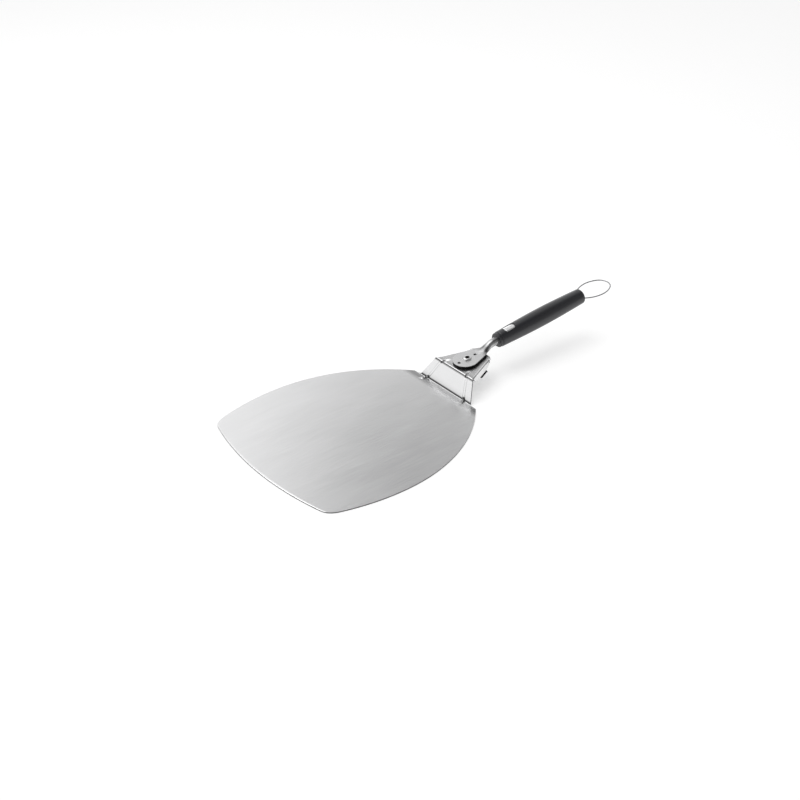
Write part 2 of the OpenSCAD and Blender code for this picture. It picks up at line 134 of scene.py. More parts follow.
def thicken(piece: bpy.types.Object, sheet: float, side: float, edge: float, finishes: "Finishes") -> None:
    """Give a skin its thickness and eased edges, with the cut edges in a material slot of their own.

    Args:
        piece: Open skin.
        sheet: Thickness.
        side: Solidify's offset: 0 for the middle, -1 for inwards.
        edge: Width of the eased edge.
        finishes: Finishes of the face and of the cut edge.
    """
    piece.data.materials.append(finishes.sheet)
    # The cut edges get rough steel made near black: painted shade for the dark room that these upright faces
    # mirror.
    piece.data.materials.append(finishes.edge_shade)
    wall = piece.modifiers.new("wall", "SOLIDIFY")
    wall.thickness, wall.offset, wall.material_offset_rim = sheet * MM, side, 1
    soft = piece.modifiers.new("edge", "BEVEL")
    soft.width, soft.segments, soft.limit_method, soft.angle_limit = edge * MM, 2, "ANGLE", math.radians(55)
    soft.material = 1


def drill(piece: bpy.types.Object, cutters: Sequence[bpy.types.Object]) -> None:
    """Cut holes through a piece and remove the solids that cut them.

    Args:
        piece: Object that gets the holes.
        cutters: Closed solids in the places of the holes.
    """
    for cutter in cutters:
        cut = piece.modifiers.new(cutter.name, "BOOLEAN")
        cut.operation, cut.solver, cut.object = "DIFFERENCE", "EXACT", cutter
    settle(piece, 25.0)
    for cutter in cutters:
        bpy.data.objects.remove(cutter)


@dataclass(frozen=True)
class DeckFrame:
    """Frame of the tilted deck, from the pivot on the deck's top face: s runs back and w stands up."""

    bend_y: float = 222.5
    bend_z: float = 32.5
    tilt_deg: float = 5.5
    pivot_s: float = 26.9

    @property
    def pivot_y(self) -> float:
        """Distance of the pivot along the object."""
        return self.bend_y + self.pivot_s * math.cos(math.radians(self.tilt_deg))

    def place(self, x: np.ndarray, s: np.ndarray, w: np.ndarray) -> np.ndarray:
        """Turn deck coordinates by the tilt and carry them to the upper bend.

        Args:
            x: Distances from the middle.
            s: Distances behind the pivot.
            w: Heights above the deck.

        Returns:
            Points in the object's frame, with a last axis of three.
        """
        x, s, w = np.broadcast_arrays(x, s, w)
        cos, sin = math.cos(math.radians(self.tilt_deg)), math.sin(math.radians(self.tilt_deg))
        along = s + self.pivot_s
        y = self.bend_y + along * cos - w * sin
        return np.stack([x, y, self.bend_z + along * sin + w * cos], axis=-1)

    def turned(self, name: str, outline: np.ndarray, s: float, x: float = 0.0) -> bpy.types.Object:
        """Revolve a closed outline about an upright axis: each point becomes a circle of its own radius.

        Args:
            name: Name of the new solid.
            outline: Points of radius and height, in order, on one side of the axis.
            s: Distance of the axis behind the pivot.
            x: Distance of the axis from the middle.

        Returns:
            The closed solid.
        """
        angle = np.linspace(0.0, 2 * math.pi, 48, endpoint=False)
        radius, height = outline[:, 0:1], outline[:, 1:2]
        points = self.place(x + radius * np.cos(angle), s + radius * np.sin(angle), height + 0 * angle)
        return surface(name, points, wrap=True, loop=True)


DECK = DeckFrame()


def pin_outline(radius: float, low: float, high: float = 9.0) -> np.ndarray:
    """Outline of radius and height that turns into a plain pin between two heights."""
    return np.array([[0.0, low], [radius, low], [radius, high], [0.0, high]])


# ---------------------------------------------------------------- shader arithmetic


class Signal:
    """A shader value that takes part in Python arithmetic by adding Math nodes."""

    def __init__(self, sheet: "NodeSheet", socket: bpy.types.NodeSocket) -> None:
        """Keep the socket and the node sheet that it belongs to."""
        self.sheet = sheet
        self.socket = socket

    def _math(self, operation: str, *values: Any) -> "Signal":
        """Add one Math node.

        Args:
            operation: Name of the Math node's operation.
            values: Numbers or signals, in the order of its sockets.

        Returns:
            The node's value.
        """
        node = self.sheet.node("ShaderNodeMath", {"operation": operation}, dict(enumerate(values)))
        return Signal(self.sheet, node.outputs[0])

    def __add__(self, other: Any) -> "Signal":
        """Return self + other."""
        return self._math("ADD", self, other)

    __radd__ = __add__

    def __mul__(self, other: Any) -> "Signal":
        """Return self * other."""
        return self._math("MULTIPLY", self, other)

    __rmul__ = __mul__

    def __sub__(self, other: Any) -> "Signal":
        """Return self - other."""
        return self._math("SUBTRACT", self, other)

    def __rsub__(self, other: Any) -> "Signal":
        """Return other - self."""
        return self._math("SUBTRACT", other, self)

    def __truediv__(self, other: Any) -> "Signal":
        """Return self / other."""
        return self._math("DIVIDE", self, other)

    def __rtruediv__(self, other: Any) -> "Signal":
        """Return other / self."""
        return self._math("DIVIDE", other, self)

    def __pow__(self, other: Any) -> "Signal":
        """Return self to the power of other."""
        return self._math("POWER", self, other)

    def step(self, low: float, high: float) -> "Signal":
        """Rise smoothly from 0 at low to 1 at high.

        Args:
            low: Value at which the rise starts.
            high: Value at which it ends.

        Returns:
            The eased value.
        """
        node = self.sheet.node(
            "ShaderNodeMapRange",
            {"interpolation_type": "SMOOTHSTEP"},
            {"Value": self, "From Min": low, "From Max": high},
        )
        return Signal(self.sheet, node.outputs[0])


class NodeSheet:
    """The node tree of one material or of the world."""

    def __init__(self, tree: bpy.types.NodeTree) -> None:
        """Start the tree empty."""
        self.tree = tree
        tree.nodes.clear()

    def node(self, kind: str, settings: Mapping[str, Any], inputs: Mapping[Any, Any]) -> bpy.types.Node:
        """Add a node, set it up and then fill its sockets.

        Args:
            kind: Type of the node.
            settings: Its properties.
            inputs: Values, signals or sockets, by socket name or number.

        Returns:
            The new node.
        """
        node = self.tree.nodes.new(kind)
        for name, value in settings.items():
            setattr(node, name, value)
        for key, value in inputs.items():
            socket = node.inputs[key]
            if isinstance(value, Signal):
                self.tree.links.new(value.socket, socket)
            elif isinstance(value, bpy.types.NodeSocket):
                self.tree.links.new(value, socket)
            else:
                socket.default_value = value
        return node

    def place(self, stretch: Triple) -> bpy.types.NodeSocket:
        """Return object coordinates scaled by a stretch along each axis."""
        where = self.node("ShaderNodeTexCoord", {}, {})
        mapping = self.node("ShaderNodeMapping", {}, {"Vector": where.outputs["Object"], "Scale": stretch})
        return mapping.outputs[0]

    def flat_place(self) -> tuple[Signal, Signal]:
        """Return the place across and along the object, in millimetres."""
        split = self.node("ShaderNodeSeparateXYZ", {}, {"Vector": self.place((1 / MM, 1 / MM, 1 / MM))})
        return Signal(self, split.outputs["X"]), Signal(self, split.outputs["Y"])

    def noise(self, stretch: Triple, detail: float = 3.0, rough: float = 0.55) -> Signal:
        """Return noise between 0 and 1 over the object.

        Args:
            stretch: Cells per metre along each axis.
            detail: Number of finer layers.
            rough: Strength of each finer layer.

        Returns:
            The noise value.
        """
        inputs = {"Vector": self.place(stretch), "Scale": 1.0, "Detail": detail, "Roughness": rough}
        return Signal(self, self.node("ShaderNodeTexNoise", {}, inputs).outputs[0])

    def blend(self, factor: Any, first: Any, second: Any) -> bpy.types.NodeSocket:
        """Mix two colours.

        Args:
            factor: Share of the second colour, as a signal or a number.
            first: Colour at 0, as three numbers or a socket.
            second: Colour at 1, as three numbers or a socket.

        Returns:
            The mixed colour.
        """
        pair = (first, second)
        first, second = ((*colour, 1.0) if isinstance(colour, tuple) else colour for colour in pair)
        return self.node("ShaderNodeMix", {"data_type": "RGBA"}, {0: factor, 6: first, 7: second}).outputs[2]

    def bump(self, height: Signal, strength: float, distance: float) -> bpy.types.NodeSocket:
        """Turn a height into a normal.

        Args:
            height: Height between 0 and 1.
            strength: Strength of the effect.
            distance: Depth in metres of a height of 1.

        Returns:
            The normal.
        """
        inputs = {"Strength": strength, "Distance": distance, "Height": height}
        return self.node("ShaderNodeBump", {}, inputs).outputs[0]


def material(name: str) -> tuple[bpy.types.Material, NodeSheet]:
    """Return a new material and its empty node sheet."""
    made = bpy.data.materials.new(name)
    made.use_nodes = True
    return made, NodeSheet(made.node_tree)


def shade(sheet: NodeSheet, inputs: Mapping[str, Any]) -> None:
    """Add a Principled shader with these inputs and send it to the material's surface."""
    shader = sheet.node("ShaderNodeBsdfPrincipled", {}, inputs)
    sheet.node("ShaderNodeOutputMaterial", {}, {"Surface": shader.outputs[0]})


@dataclass(frozen=True)
class ShadeBand:
    """Band of painted shade across a steel piece, strongest at one distance along it and gone a half width
    away.
    """

    at: float
    half: float
    darkness: float

    def shadow(self, along: Signal) -> Signal:
        """Return the darkness of the band at a distance along the object."""
        rise, fall = along.step(self.at - self.half, self.at), along.step(self.at, self.at + self.half)
        return (rise - fall) * self.darkness


@dataclass(frozen=True)
class BeadShadeLines:
    """Painted shade: thin dark lines beside the two bead strips, which run up the ramp and draw together on
    the way.
    """

    start: float = 206.0
    end: float = 221.5
    half_gap: float = 41.0
    narrowing: float = 0.69
    darkness: float = 0.22

    def shadow(self, across: Signal, along: Signal) -> Signal:
        """Painted shade of the lines.

        Args:
            across: Distance from the object's middle plane.
            along: Distance along the object.

        Returns:
            The darkness, from the square of the distance to the nearer bead: it is full between 2 and 2.2 mm.
        """
        beside = ((across * across) ** 0.5 + (along - self.start) * self.narrowing - self.half_gap) ** 2
        on_ramp = along.step(self.start - 1.0, self.start + 1.0) - along.step(self.end - 0.5, self.end + 0.5)
        return (beside.step(1.0, 4.0) - beside.step(5.0, 9.0)) * on_ramp * self.darkness


@dataclass(frozen=True)
class BrushedSteel:
    """Steel brushed along the object's length, with faint clouds, and with painted shade across its bends and
    beside the bead strips.
    """

    name: str
    light: Triple = (0.84, 0.84, 0.845)
    dark: Triple = (0.77, 0.77, 0.775)
    roughness: float = 0.24
    grain: Triple = (1500.0, 16.0, 1500.0)
    grain_depth: float = 0.0000012
    marks: float = 0.024
    shade_tone: Triple = (0.02, 0.02, 0.02)
    shade_bands: tuple[ShadeBand, ...] = ()
    bead_shade: BeadShadeLines | None = None

    def make(self) -> bpy.types.Material:
        """Build the material: streaks shift colour, roughness and normal, and clouds dull it in places."""
        made, sheet = material(self.name)
        streak = sheet.noise(self.grain, 2.0, 0.6)
        fine = sheet.noise(tuple(2.6 * g for g in self.grain), 1.0, 0.5)
        cloud = sheet.noise((22.0, 9.0, 22.0), 3.0, 0.55)
        tone = streak * 0.4 + fine * 0.25 + cloud * 0.35
        across, along = sheet.flat_place()
        # Painted shade: the dark bands and bead lines, mixed into the base colour towards shade_tone.
        shadow: Any = sum(shade_band.shadow(along) for shade_band in self.shade_bands)
        if self.bead_shade:
            shadow = shadow + self.bead_shade.shadow(across, along)
        steel = sheet.blend(tone.step(0.3, 0.7), self.dark, self.light)
        shade(
            sheet,
            {
                "Base Color": sheet.blend(shadow, steel, self.shade_tone),
                "Metallic": 1.0,
                "Roughness": (streak - 0.5) * 0.05 + (cloud - 0.5) * self.marks + self.roughness,
                "Normal": sheet.bump(streak * 0.7 + fine * 0.3, 0.35, self.grain_depth),
            },
        )
        return made


@dataclass(frozen=True)
class TurnedSteel:
    """Small steel pieces, with fine turning marks and dull spots, and painted shade in a dark disc round the
    pivot's axis, over the rivet's bore.
    """

    name: str
    light: Triple = (0.8, 0.8, 0.8)
    dark: Triple = (0.62, 0.62, 0.625)
    roughness: float = 0.22
    bore_shade_r: float = 0.0
    bore_shade_tone: Triple = (0.01, 0.01, 0.01)

    def make(self) -> bpy.types.Material:
        """Build the material: even fine grain for the roughness and a cloudy change of tone."""
        made, sheet = material(self.name)
        grain = sheet.noise((2400.0, 2400.0, 2400.0), 2.0, 0.6)
        cloud = sheet.noise((160.0, 160.0, 160.0), 3.0, 0.6)
        steel = sheet.blend(cloud.step(0.3, 0.7), self.dark, self.light)
        # Painted shade: a near-black disc round the pivot's axis, where the rivet's bore lies in shade.
        if self.bore_shade_r:
            across, along = sheet.flat_place()
            away = (across * across + (along - DECK.pivot_y) ** 2) ** 0.5
            steel = sheet.blend(1 - away.step(self.bore_shade_r, self.bore_shade_r + 0.2), steel, self.bore_shade_tone)
        shade(
            sheet,
            {
                "Base Color": steel,
                "Metallic": 1.0,
                "Roughness": (grain - 0.5) * 0.12 + (cloud - 0.5) * 0.1 + self.roughness,
                "Normal": sheet.bump(grain, 0.3, 0.000008),
            },
        )
        return made


@dataclass(frozen=True)
class MouldedPlastic:
    """Moulded plastic with a fine eroded grain and slightly polished patches where a hand rubs it."""

    name: str
    light: Triple = (0.011, 0.012, 0.018)
    dark: Triple = (0.006, 0.006, 0.009)
    roughness: float = 0.4
    specular: float = 0.8
    grain_depth: float = 0.00003

    def make(self) -> bpy.types.Material:
        """Build the material: grain for the normal, and broad clouds for the rubbed patches."""
        made, sheet = material(self.name)
        grain = sheet.noise((1300.0, 1300.0, 1300.0), 2.0, 0.5)
        rub = sheet.noise((28.0, 16.0, 28.0), 3.0, 0.55)
        shade(
            sheet,
            {
                "Base Color": sheet.blend(rub.step(0.35, 0.7) * 0.7 + grain * 0.3, self.dark, self.light),
                "Metallic": 0.0,
                "Roughness": (grain - 0.5) * 0.1 + (0.5 - rub) * 0.14 + self.roughness,
                "Specular IOR Level": self.specular,
                "Normal": sheet.bump(grain, 0.25, self.grain_depth),
            },
        )
        return made


# Painted shade across the sheet: dark lines at the two bends, where the bent steel mirrors dark, and soft
# painted shadow bands beside them.
SHEET_SHADE_BANDS = (
    ShadeBand(205.3, 1.5, 0.8),  # the lower bend
    ShadeBand(199.0, 12.0, 0.5),  # a soft band ahead of it
    ShadeBand(221.6, 1.7, 0.85),  # the upper bend
    ShadeBand(225.0, 5.0, 0.25),  # a soft band behind it
)
# Painted shade on the plate's tail: the first two bands dim the overhead panel's glint as the plate rolls up,
# and the last stands in for the collar's dark reflection in the tube.
TAIL_SHADE_BANDS = (
    ShadeBand(283.0, 15.0, 0.72),  # where the plate starts to roll up
    ShadeBand(303.0, 14.0, 0.5),  # along the roll
    ShadeBand(315.0, 8.0, 0.6),  # the tube, close to the collar
)


def finish(recipe: BrushedSteel | TurnedSteel | MouldedPlastic) -> Any:
    """Return a dataclass field whose value is the recipe's material, made with the object that holds it."""
    return field(default_factory=recipe.make)


@dataclass(frozen=True)
class Finishes:
    """Every finish on the object, made once."""

    sheet: bpy.types.Material = finish(
        BrushedSteel("brushed_sheet", shade_bands=SHEET_SHADE_BANDS, bead_shade=BeadShadeLines())
    )
    # Painted shade: rough steel made near black for the sheets' cut edges, standing in for the dark room that
    # these upright faces mirror.
    edge_shade: bpy.types.Material = finish(
        TurnedSteel("edge_shade", (0.08, 0.08, 0.08), (0.05, 0.05, 0.05), 0.45)
    )
    plate: bpy.types.Material = finish(
        BrushedSteel(
            "plate_steel",
            light=(0.74, 0.74, 0.745),
            dark=(0.66, 0.66, 0.665),
            roughness=0.34,
            grain=(1800.0, 60.0, 1800.0),
            shade_bands=TAIL_SHADE_BANDS,
        )
    )
    bright: bpy.types.Material = finish(TurnedSteel("bright_steel"))
    # The rivet's steel carries a disc of painted shade over its bore.
    rivet: bpy.types.Material = finish(TurnedSteel("rivet_steel", bore_shade_r=3.3))
    spring: bpy.types.Material = finish(
        TurnedSteel("spring_steel", (0.5, 0.5, 0.52), (0.38, 0.38, 0.4), 0.32)
    )
    wire: bpy.types.Material = finish(TurnedSteel("wire_steel", (0.4, 0.4, 0.41), (0.28, 0.28, 0.29), 0.2))
    badge: bpy.types.Material = finish(
        BrushedSteel("badge_steel", (0.93, 0.93, 0.935), (0.86, 0.86, 0.865), 0.3, (2600.0, 90.0, 2600.0))
    )
    black: bpy.types.Material = finish(MouldedPlastic("black_plastic"))
    soft: bpy.types.Material = finish(
        MouldedPlastic("soft_black", (0.004, 0.004, 0.004), (0.002, 0.002, 0.002), 0.6, 0.15)
    )
    pale: bpy.types.Material = finish(
        MouldedPlastic("pale_plastic", (0.78, 0.76, 0.71), (0.7, 0.68, 0.63), 0.4)
    )


def dress(piece: bpy.types.Object, cover: bpy.types.Material) -> None:
    """Give a piece one material in every material slot."""
    if not piece.material_slots:
        piece.data.materials.append(cover)
    for slot in piece.material_slots:
        slot.material = cover


def hand_over(
    piece: bpy.types.Object,
    body: Body,
    node: str,
    cover: bpy.types.Material,
    cut_edge: bpy.types.Material | None = None,
) -> None:
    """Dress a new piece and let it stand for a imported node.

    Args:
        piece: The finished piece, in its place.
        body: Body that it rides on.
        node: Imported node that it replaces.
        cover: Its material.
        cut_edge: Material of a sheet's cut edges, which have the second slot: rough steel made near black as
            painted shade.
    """
    dress(piece, cover)
    if cut_edge:
        piece.material_slots[1].material = cut_edge
    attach(piece, body.value)
    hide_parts(node)
    LOG.info("%s stands for %s: %d points", piece.name, node, len(piece.data.vertices))


# ---------------------------------------------------------------- pressed sheet


@dataclass
class PressedSheet:
    """Blade, ramp and deck of one steel sheet, with ribs at its bends and flanges beside the deck."""

    width: float = 328.0
    length: float = 347.0
    widest: float = 142.0
    sheet: float = 1.5
    front_r: float = 505.0
    side_front_r: float = 340.0
    shoulder: float = 12.3
    corner_l: float = 38.0
    corner_w: float = 19.7
    corner_reach: float = 14.0
    corner_rise: float = 3.0
    neck_low: float = 58.5
    neck_up: float = 43.4
    deck_l: float = 60.0
    deck_rear: float = 19.5
    deck_corner: float = 8.0
    corner_flare: float = 3.3
    bend_r: float = 2.5
    fold_r: float = 2.6
    flange_h: float = 12.0
    flange_start: float = 3.0
    rib_height: float = 3.0
    groove_depth: float = 1.7
    bead_height: float = 0.35
    rivet_hole_r: float = 4.05
    pin_hole_r: float = 2.6
    pin_s: float = 16.4
    edge: float = 0.3

    def side_x(self, y: np.ndarray) -> np.ndarray:
        """Half width at y: the widest less the sagitta of a circle, with a radius ahead and one behind."""
        neck_y = self.length - self.widest
        inward = self.width / 2 - self.neck_low - self.shoulder
        rear_r = (inward**2 + neck_y**2) / (2 * inward)
        radius = np.where(y < 0, self.side_front_r, rear_r)
        return self.width / 2 - radius + np.sqrt(radius**2 - y**2)

    def front_curves(self) -> tuple[np.ndarray, np.ndarray]:
        """Right half of the front edge, and the right side from there to the widest line.

        Returns:
            Two lists of plan points that meet halfway round the corner. The edge is a shallow arc, the
            corner is a quadratic curve with three control points, and the side is an arc.
        """
        corner_y = self.corner_l - self.widest
        c = np.array([float(self.side_x(np.array(corner_y))), corner_y])
        half = c[0] - self.corner_w
        x = np.linspace(0.0, half, 60)
        arc = np.stack([x, self.front_r - np.sqrt(self.front_r**2 - x**2) - self.widest], axis=-1)
        a = arc[-1]
        b = a + (self.corner_reach, self.corner_rise)
        u = np.linspace(0.0, 1.0, 41)[:, None]
        corner = a * (1 - u) ** 2 + b * 2 * u * (1 - u) + c * u**2
        y = np.linspace(corner_y, 0.0, 60)
        side = np.stack([self.side_x(y), y], axis=-1)
        return np.concatenate([arc, corner[1:21]]), np.concatenate([corner[20:-1], side])

    @staticmethod
    def along(curve: np.ndarray, share: np.ndarray) -> np.ndarray:
        """Points at given shares of a curve's length, found by straight steps between its points."""
        length = np.concatenate([[0.0], np.cumsum(np.linalg.norm(np.diff(curve, axis=0), axis=1))])
        at = share * length[-1]
        return np.stack([np.interp(at, length, curve[:, k]) for k in (0, 1)], axis=-1)

    def shares(self) -> tuple[np.ndarray, np.ndarray]:
        """Columns of the right half, as shares of the flat part from the middle and of the folded edge."""
        flat = np.concatenate([np.linspace(0.0, 0.46, 12)[:-1], np.linspace(0.46, 1.0, 38)])
        return flat, np.linspace(0.0, 1.0, 11)[1:]

    def front_patch(self, across: np.ndarray, rows: int = 30) -> np.ndarray:
        """Flat front part, ahead of the widest line.

        Args:
            across: Places of the columns from -1 to 1.
            rows: Number of rows, without the widest line itself.

        Returns:
            Grid of points. Each is the sum of the blends between opposite borders, less that of the corners.
        """
        edge, side = self.front_curves()
        side_sign = np.where(across < 0, -1.0, 1.0)
        bottom = self.along(edge, np.abs(across)) * np.stack([side_sign, np.ones_like(across)], axis=-1)
        up = np.linspace(0.0, 1.0, rows + 1)[:-1]
        right = self.along(side, up)[:, None]
        left = right * (-1, 1)
        top = np.stack([across * self.width / 2, 0 * across], axis=-1)[None]
        v, s = up[:, None, None], ((across + 1) / 2)[None, :, None]
        corners = (1 - v) * ((1 - s) * bottom[0] + s * bottom[-1])
        corners = corners + v * ((1 - s) * top[:, :1] + s * top[:, -1:])
        plan = (1 - v) * bottom[None] + v * top + (1 - s) * left + s * right - corners
        return np.concatenate([plan, np.full(plan.shape[:2] + (1,), self.sheet / 2)], axis=-1)

    def stations(self) -> dict[str, np.ndarray]:
        """Rows from the widest line to the deck's end, on the middle of the sheet's thickness.

        Returns:
            For each row its developed distance v, its y and z, the slope of the sheet there and its half
            width, with the two bends as arcs between straight runs, and the developed distances of the
            bends' middles.
        """
        middle = self.bend_r + self.sheet / 2
        tilt = math.radians(DECK.tilt_deg)
        low = np.array([self.length - self.widest, self.sheet / 2])
        into_sheet = np.array([math.sin(tilt), -math.cos(tilt)]) * self.sheet / 2
        up = np.array([DECK.bend_y, DECK.bend_z]) + into_sheet
        climb = math.atan2(*(up - low)[::-1])
        low_set, up_set = middle * math.tan(climb / 2), middle * math.tan((climb - tilt) / 2)
        flat_l, ramp_l = low[0] - low_set, float(np.linalg.norm(up - low)) - low_set - up_set
        arc_low, arc_up = middle * climb, middle * (climb - tilt)
        deck_l = self.deck_l - up_set
        ends = np.cumsum([flat_l, arc_low, ramp_l, arc_up])
        corner = self.deck_l - self.deck_corner - up_set
        turn = np.linspace(0.0, math.pi / 2, 9)
        v = np.concatenate(
            [
                np.linspace(0.0, 178.0, 24),
                np.linspace(179.2, flat_l - 0.4, 24),
                np.linspace(flat_l, ends[0] + arc_low, 9),
                ends[1] + np.linspace(0.0, ramp_l, 34)[1:],
                ends[2] + np.linspace(0.0, arc_up, 8)[1:],
                ends[3] + np.linspace(0.0, 15.0, 18)[1:],
                ends[3] + np.linspace(15.0, corner, 18)[1:],
                ends[3] + corner + (deck_l - corner) * np.sin(turn[1:]),
            ]
        )
        slope = np.interp(v, ends[[0, 1, 2, 3]], [0.0, climb, climb, tilt])
        fine = np.linspace(0.0, v[-1], 20001)
        turned = np.interp(fine, ends[[0, 1, 2, 3]], [0.0, climb, climb, tilt])
        step = np.diff(fine, prepend=0.0)
        y = np.interp(v, fine, np.cumsum(np.cos(turned) * step))
        z = np.interp(v, fine, np.cumsum(np.sin(turned) * step)) + self.sheet / 2
        deck = v - ends[3] + up_set
        blade_end = low[0] - 1.5
        blade_half = self.side_x(np.minimum(y, blade_end))
        ramp_half = np.interp(
            y,
            [blade_end, low[0] + 0.6, DECK.bend_y],
            [float(self.side_x(blade_end)), self.neck_low, self.neck_up],
        )
        past = np.maximum(deck - (self.deck_l - self.deck_corner), 0.0)
        round_off = np.sqrt(np.maximum(self.deck_corner**2 - past**2, 0.0))
        rounded = self.deck_rear - self.deck_corner + round_off * (1 + self.corner_flare / self.deck_corner)
        deck_half = self.neck_up - (self.neck_up - self.deck_rear) / self.deck_l * deck
        deck_half = np.where(deck > corner + up_set, np.minimum(deck_half, rounded), deck_half)
        half = np.where(y < blade_end, blade_half, np.where(deck > 0, deck_half, ramp_half))
        return {
            "v": v,
            "y": y,
            "z": z,
            "slope": slope,
            "half": half,
            "deck": deck,
            "low": np.array(ends[0] + arc_low / 2),
            "up": np.array(ends[2] + arc_up / 2),
        }

    def pressing(self, rows: Mapping[str, np.ndarray], x: np.ndarray) -> np.ndarray:
        """Height pressed into the sheet along its own normal.

        Args:
            rows: The stations.
            x: Distance of every point from the middle.

        Returns:
            Heights: two ribs across the lower bend and two grooves across the upper one, each a bell curve
            across and an eased hump along, joined up the ramp by a low flat-topped bead.
        """
        v, low, up = rows["v"][:, None], float(rows["low"]), float(rows["up"])
        beside = np.abs(x) - np.interp(v, [low - 13, low + 8, up - 5, up + 13], [49.5, 40.2, 29.5, 22.0])
        bell = np.exp(-((beside / 1.75) ** 2))
        rib = self.rib_height * ease(1 - (low - v) / 13.0) * ease(1 - (v - low) / 9.0)
        groove = self.groove_depth * ease(1 - (up - v) / 6.5) * ease(1 - (v - up - 1) / 12.0)
        bead = self.bead_height * ease((v - low - 2) / 6) * ease((up - 2 - v) / 6)
        return rib * bell - groove * bell + bead * ease((2.9 - np.abs(beside)) / 0.9)

    def rear_patch(self, rows: Mapping[str, np.ndarray]) -> np.ndarray:
        """Rows behind the widest line: flat middle, and an edge that folds down beside the deck.

        Args:
            rows: The stations.

        Returns:
            Grid of points. The edge follows an arc of the fold's radius up to the fold's angle, then a
            straight.
        """
        flat, folded = self.shares()
        margin = self.fold_r + self.sheet / 2
        along = rows["deck"] - self.flange_start
        fold = math.pi / 2 * ease((along + 3.5) / 5.0) * ease((51.5 - along) / 5.0)
        depth = np.interp(along, [0, 5, 12, 36, 42, 50], [4.2, 9.6, 12, 12, 10.2, 5.4]) / 12 * self.flange_h
        developed = math.pi / 2 * self.fold_r + np.maximum(depth - margin, 0.2)
        reach = margin + (developed - margin) * np.sin(fold)
        base = (rows["half"] - margin)[:, None]
        angle = fold[:, None]
        p = reach[:, None] * folded[None]
        bent = np.minimum(p / self.fold_r, angle)
        rest = p - self.fold_r * bent
        x_edge = base + self.fold_r * np.sin(bent) + rest * np.cos(angle)
        w_edge = -self.fold_r * (1 - np.cos(bent)) - rest * np.sin(angle)
        x_half = np.concatenate([base * flat[None], x_edge], axis=1)
        w_half = np.concatenate([np.zeros_like(base * flat[None]), w_edge], axis=1)
        x = np.concatenate([-x_half[:, :0:-1], x_half], axis=1)
        w = np.concatenate([w_half[:, :0:-1], w_half], axis=1) + self.pressing(rows, x)
        slope, y, z = (rows[name][:, None] for name in ("slope", "y", "z"))
        return np.stack([x, y - np.sin(slope) * w, z + np.cos(slope) * w], axis=-1)

    def build(self, finishes: Finishes) -> None:
        """Make the sheet, give it its thickness, eased edges and holes, and hand it over."""
        rear = self.rear_patch(self.stations())
        across = rear[0, :, 0] / (self.width / 2)
        piece = surface("blade_sheet", np.concatenate([self.front_patch(across), rear]))
        thicken(piece, self.sheet, 0.0, self.edge, finishes)
        drill(
            piece,
            [
                DECK.turned("rivet_hole", pin_outline(self.rivet_hole_r, -9.0), 0.0),
                DECK.turned("pin_hole", pin_outline(self.pin_hole_r, -9.0), self.pin_s),
            ],
        )
        hand_over(piece, Body.BLADE, "blade", finishes.sheet, finishes.edge_shade)


# ---------------------------------------------------------------- swivel plate


